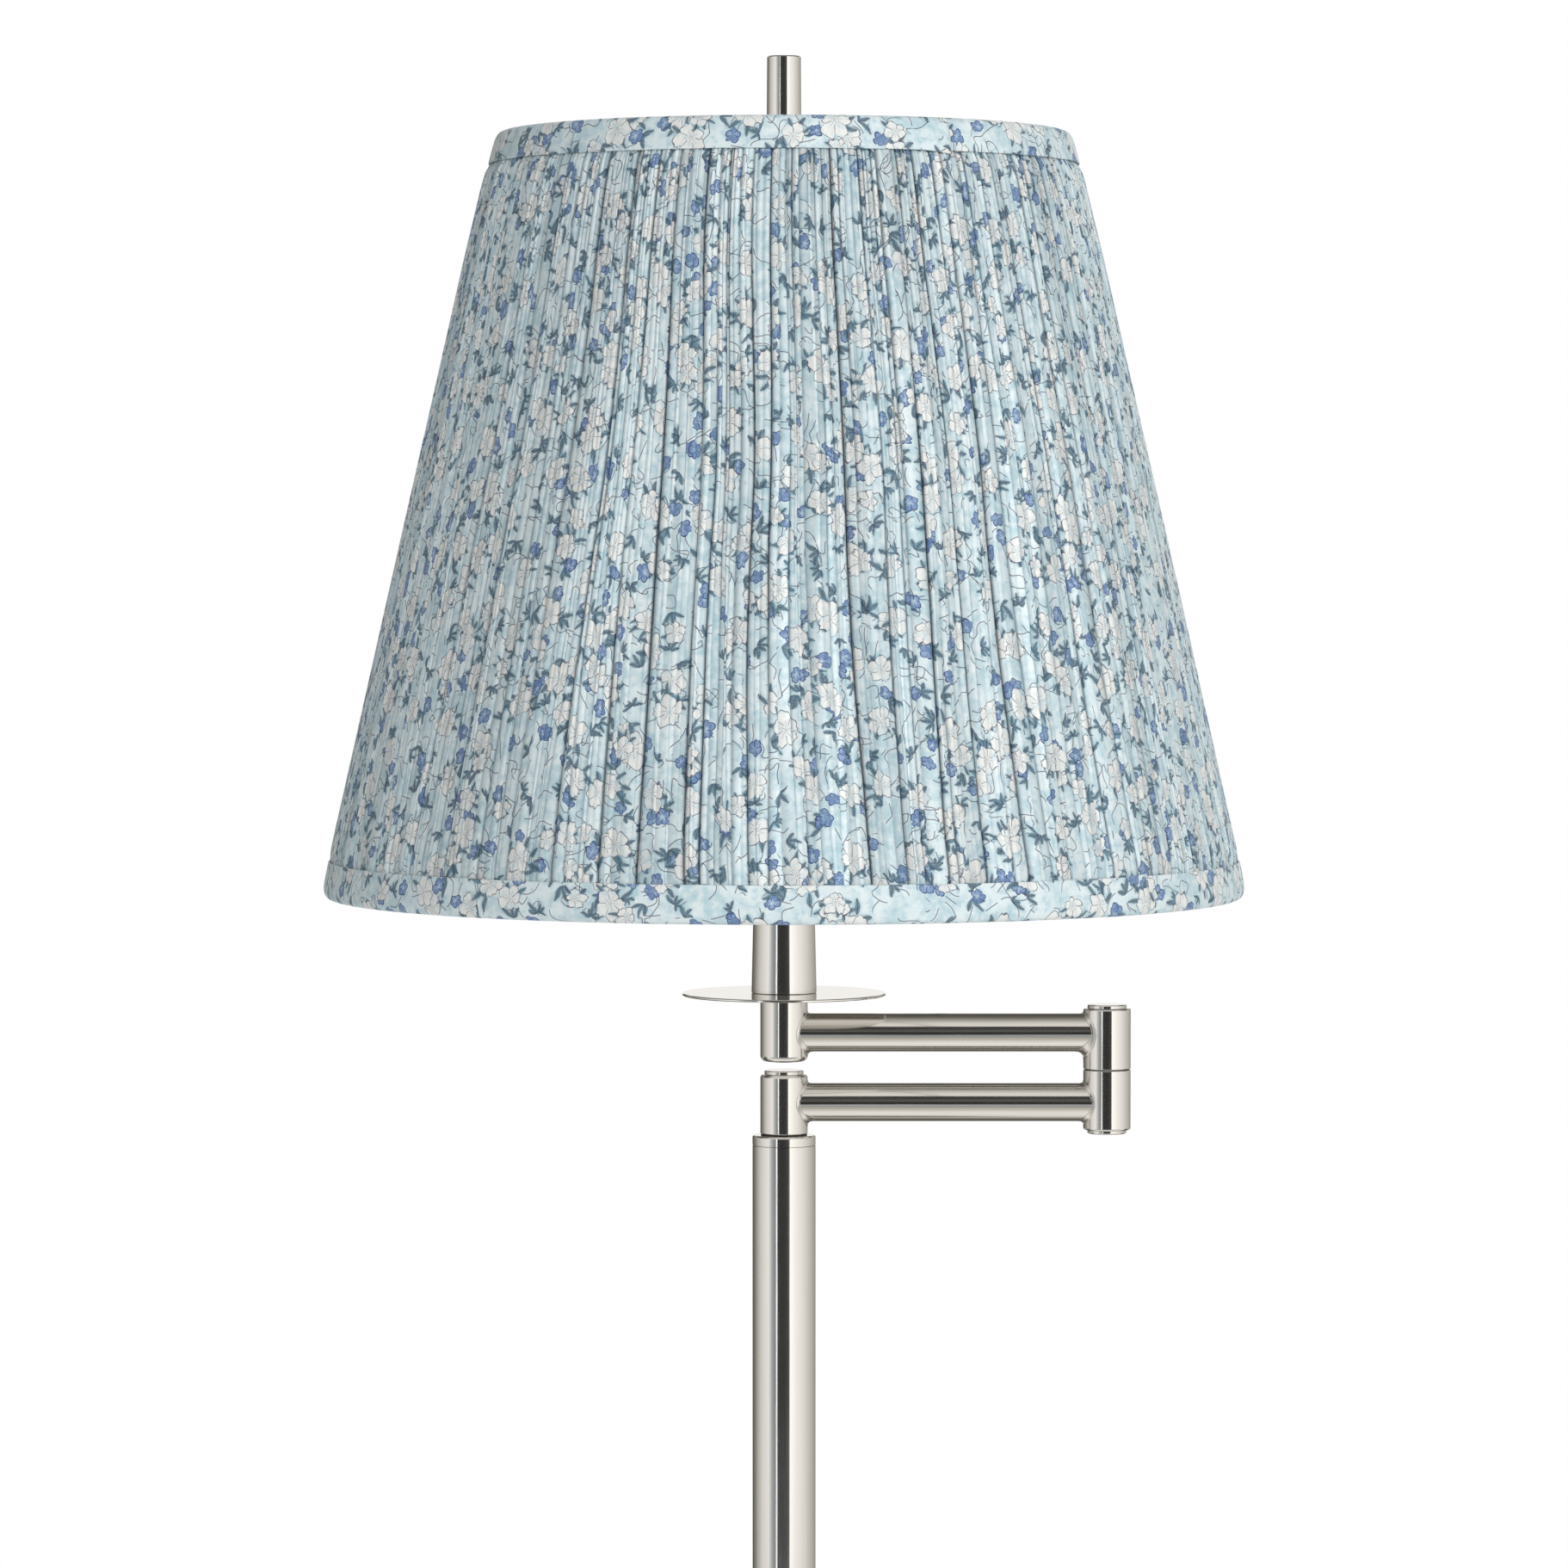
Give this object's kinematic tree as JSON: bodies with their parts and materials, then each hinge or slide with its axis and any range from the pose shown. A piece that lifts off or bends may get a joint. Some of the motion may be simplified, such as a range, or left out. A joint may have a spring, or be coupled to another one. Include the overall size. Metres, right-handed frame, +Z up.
{
  "type": "bridge floor lamp",
  "caption": "Slim round-base floor lamp whose folding arm carries a socket, harp and gathered printed empire shade with a cylinder finial.",
  "frame": {"origin": "centre of the felt foot, on the floor, on the pole's axis", "axes": "+Z up along the pole, +X the way the folded arm points, -Y the side that the switch knob and the picture's view face"},
  "size_m": [0.4068, 0.4068, 1.5],
  "materials": {
    "nickel": "satin nickel plate on steel, warm grey, finely brushed",
    "steel": "zinc plated steel hardware",
    "iron": "rough cast iron, black paint",
    "felt": "black wool felt",
    "bushing": "black moulded nylon",
    "nylon": "black nylon washer",
    "brass": "bare stamped brass",
    "phenolic": "dark moulded phenolic",
    "knob": "dark moulded knob with a ribbed grip",
    "paper": "pressed insulating paper",
    "bulb_glass": "frosted white glass",
    "bulb_cap": "stamped aluminium screw cap",
    "frame_wire": "white coated steel wire",
    "print_cloth": "gathered cotton with a small all-over flower print on pale aqua",
    "print_band": "the same printed cotton, laid flat as a band",
    "lining": "smooth off-white lining"
  },
  "bodies": {
    "root": {"base_cover": "nickel", "base_weight": "iron", "base_felt": "felt", "base_washer": "steel", "base_nut": "steel", "base_nipple": "steel", "cord_bushing": "bushing", "pole_foot_ring": "nickel", "pole_foot_plug": "steel", "pole_lower": "nickel", "pole_joint_plug": "steel", "pole_joint_socket": "steel", "pole_upper": "nickel", "pole_collar": "nickel", "pole_pivot_nipple": "steel", "pole_pivot_washer": "nylon", "pole_pivot_nut": "steel", "pole_stop_pin": "steel"},
    "lower_arm": {"lower_arm_knuckle": "nickel", "lower_arm_tube": "nickel", "lower_arm_elbow": "nickel", "lower_knuckle_cap": "nickel", "elbow_bottom_cap": "nickel", "elbow_nipple": "steel", "elbow_washer": "nylon", "elbow_nut": "steel", "elbow_stop_pin": "steel"},
    "upper_arm": {"upper_arm_elbow": "nickel", "upper_arm_tube": "nickel", "upper_arm_knuckle": "nickel", "elbow_top_cap": "nickel", "head_plug": "nickel", "head_nipple": "steel", "head_nut": "steel", "drip_disc": "nickel", "neck_cup": "nickel", "harp_saddle": "nickel", "harp_ferrules": "nickel", "harp_wire": "nickel", "harp_stud": "nickel", "socket_cap": "nickel", "socket_body": "phenolic", "socket_screw_shell": "brass", "socket_contact": "brass", "socket_sleeve": "paper", "socket_shell": "nickel", "bulb_globe": "bulb_glass", "bulb_base": "bulb_cap", "shade_top_ring": "frame_wire", "shade_bottom_ring": "frame_wire", "shade_ribs": "frame_wire", "spider_washer": "nickel", "spider_arms": "frame_wire", "shade_cover": "print_cloth", "shade_liner": "lining", "top_trim": "print_band", "bottom_trim": "print_band", "finial": "nickel"},
    "knob": {"switch_knob": "knob"}
  },
  "joints": [
    {"name": "arm_swing", "type": "hinge", "parent": "root", "child": "lower_arm", "pos_m": [0, 0, 1.04], "axis": [0, 0, 1], "range_deg": [-165, 165]},
    {"name": "elbow_swing", "type": "hinge", "parent": "lower_arm", "child": "upper_arm", "pos_m": [0.1425, 0, 1.055], "axis": [0, 0, 1], "range_deg": [-165, 165]},
    {"name": "knob_turn", "type": "hinge", "parent": "upper_arm", "child": "knob", "pos_m": [0, -0.02, 1.186], "axis": [0, -1, 0], "continuous": true}
  ]
}
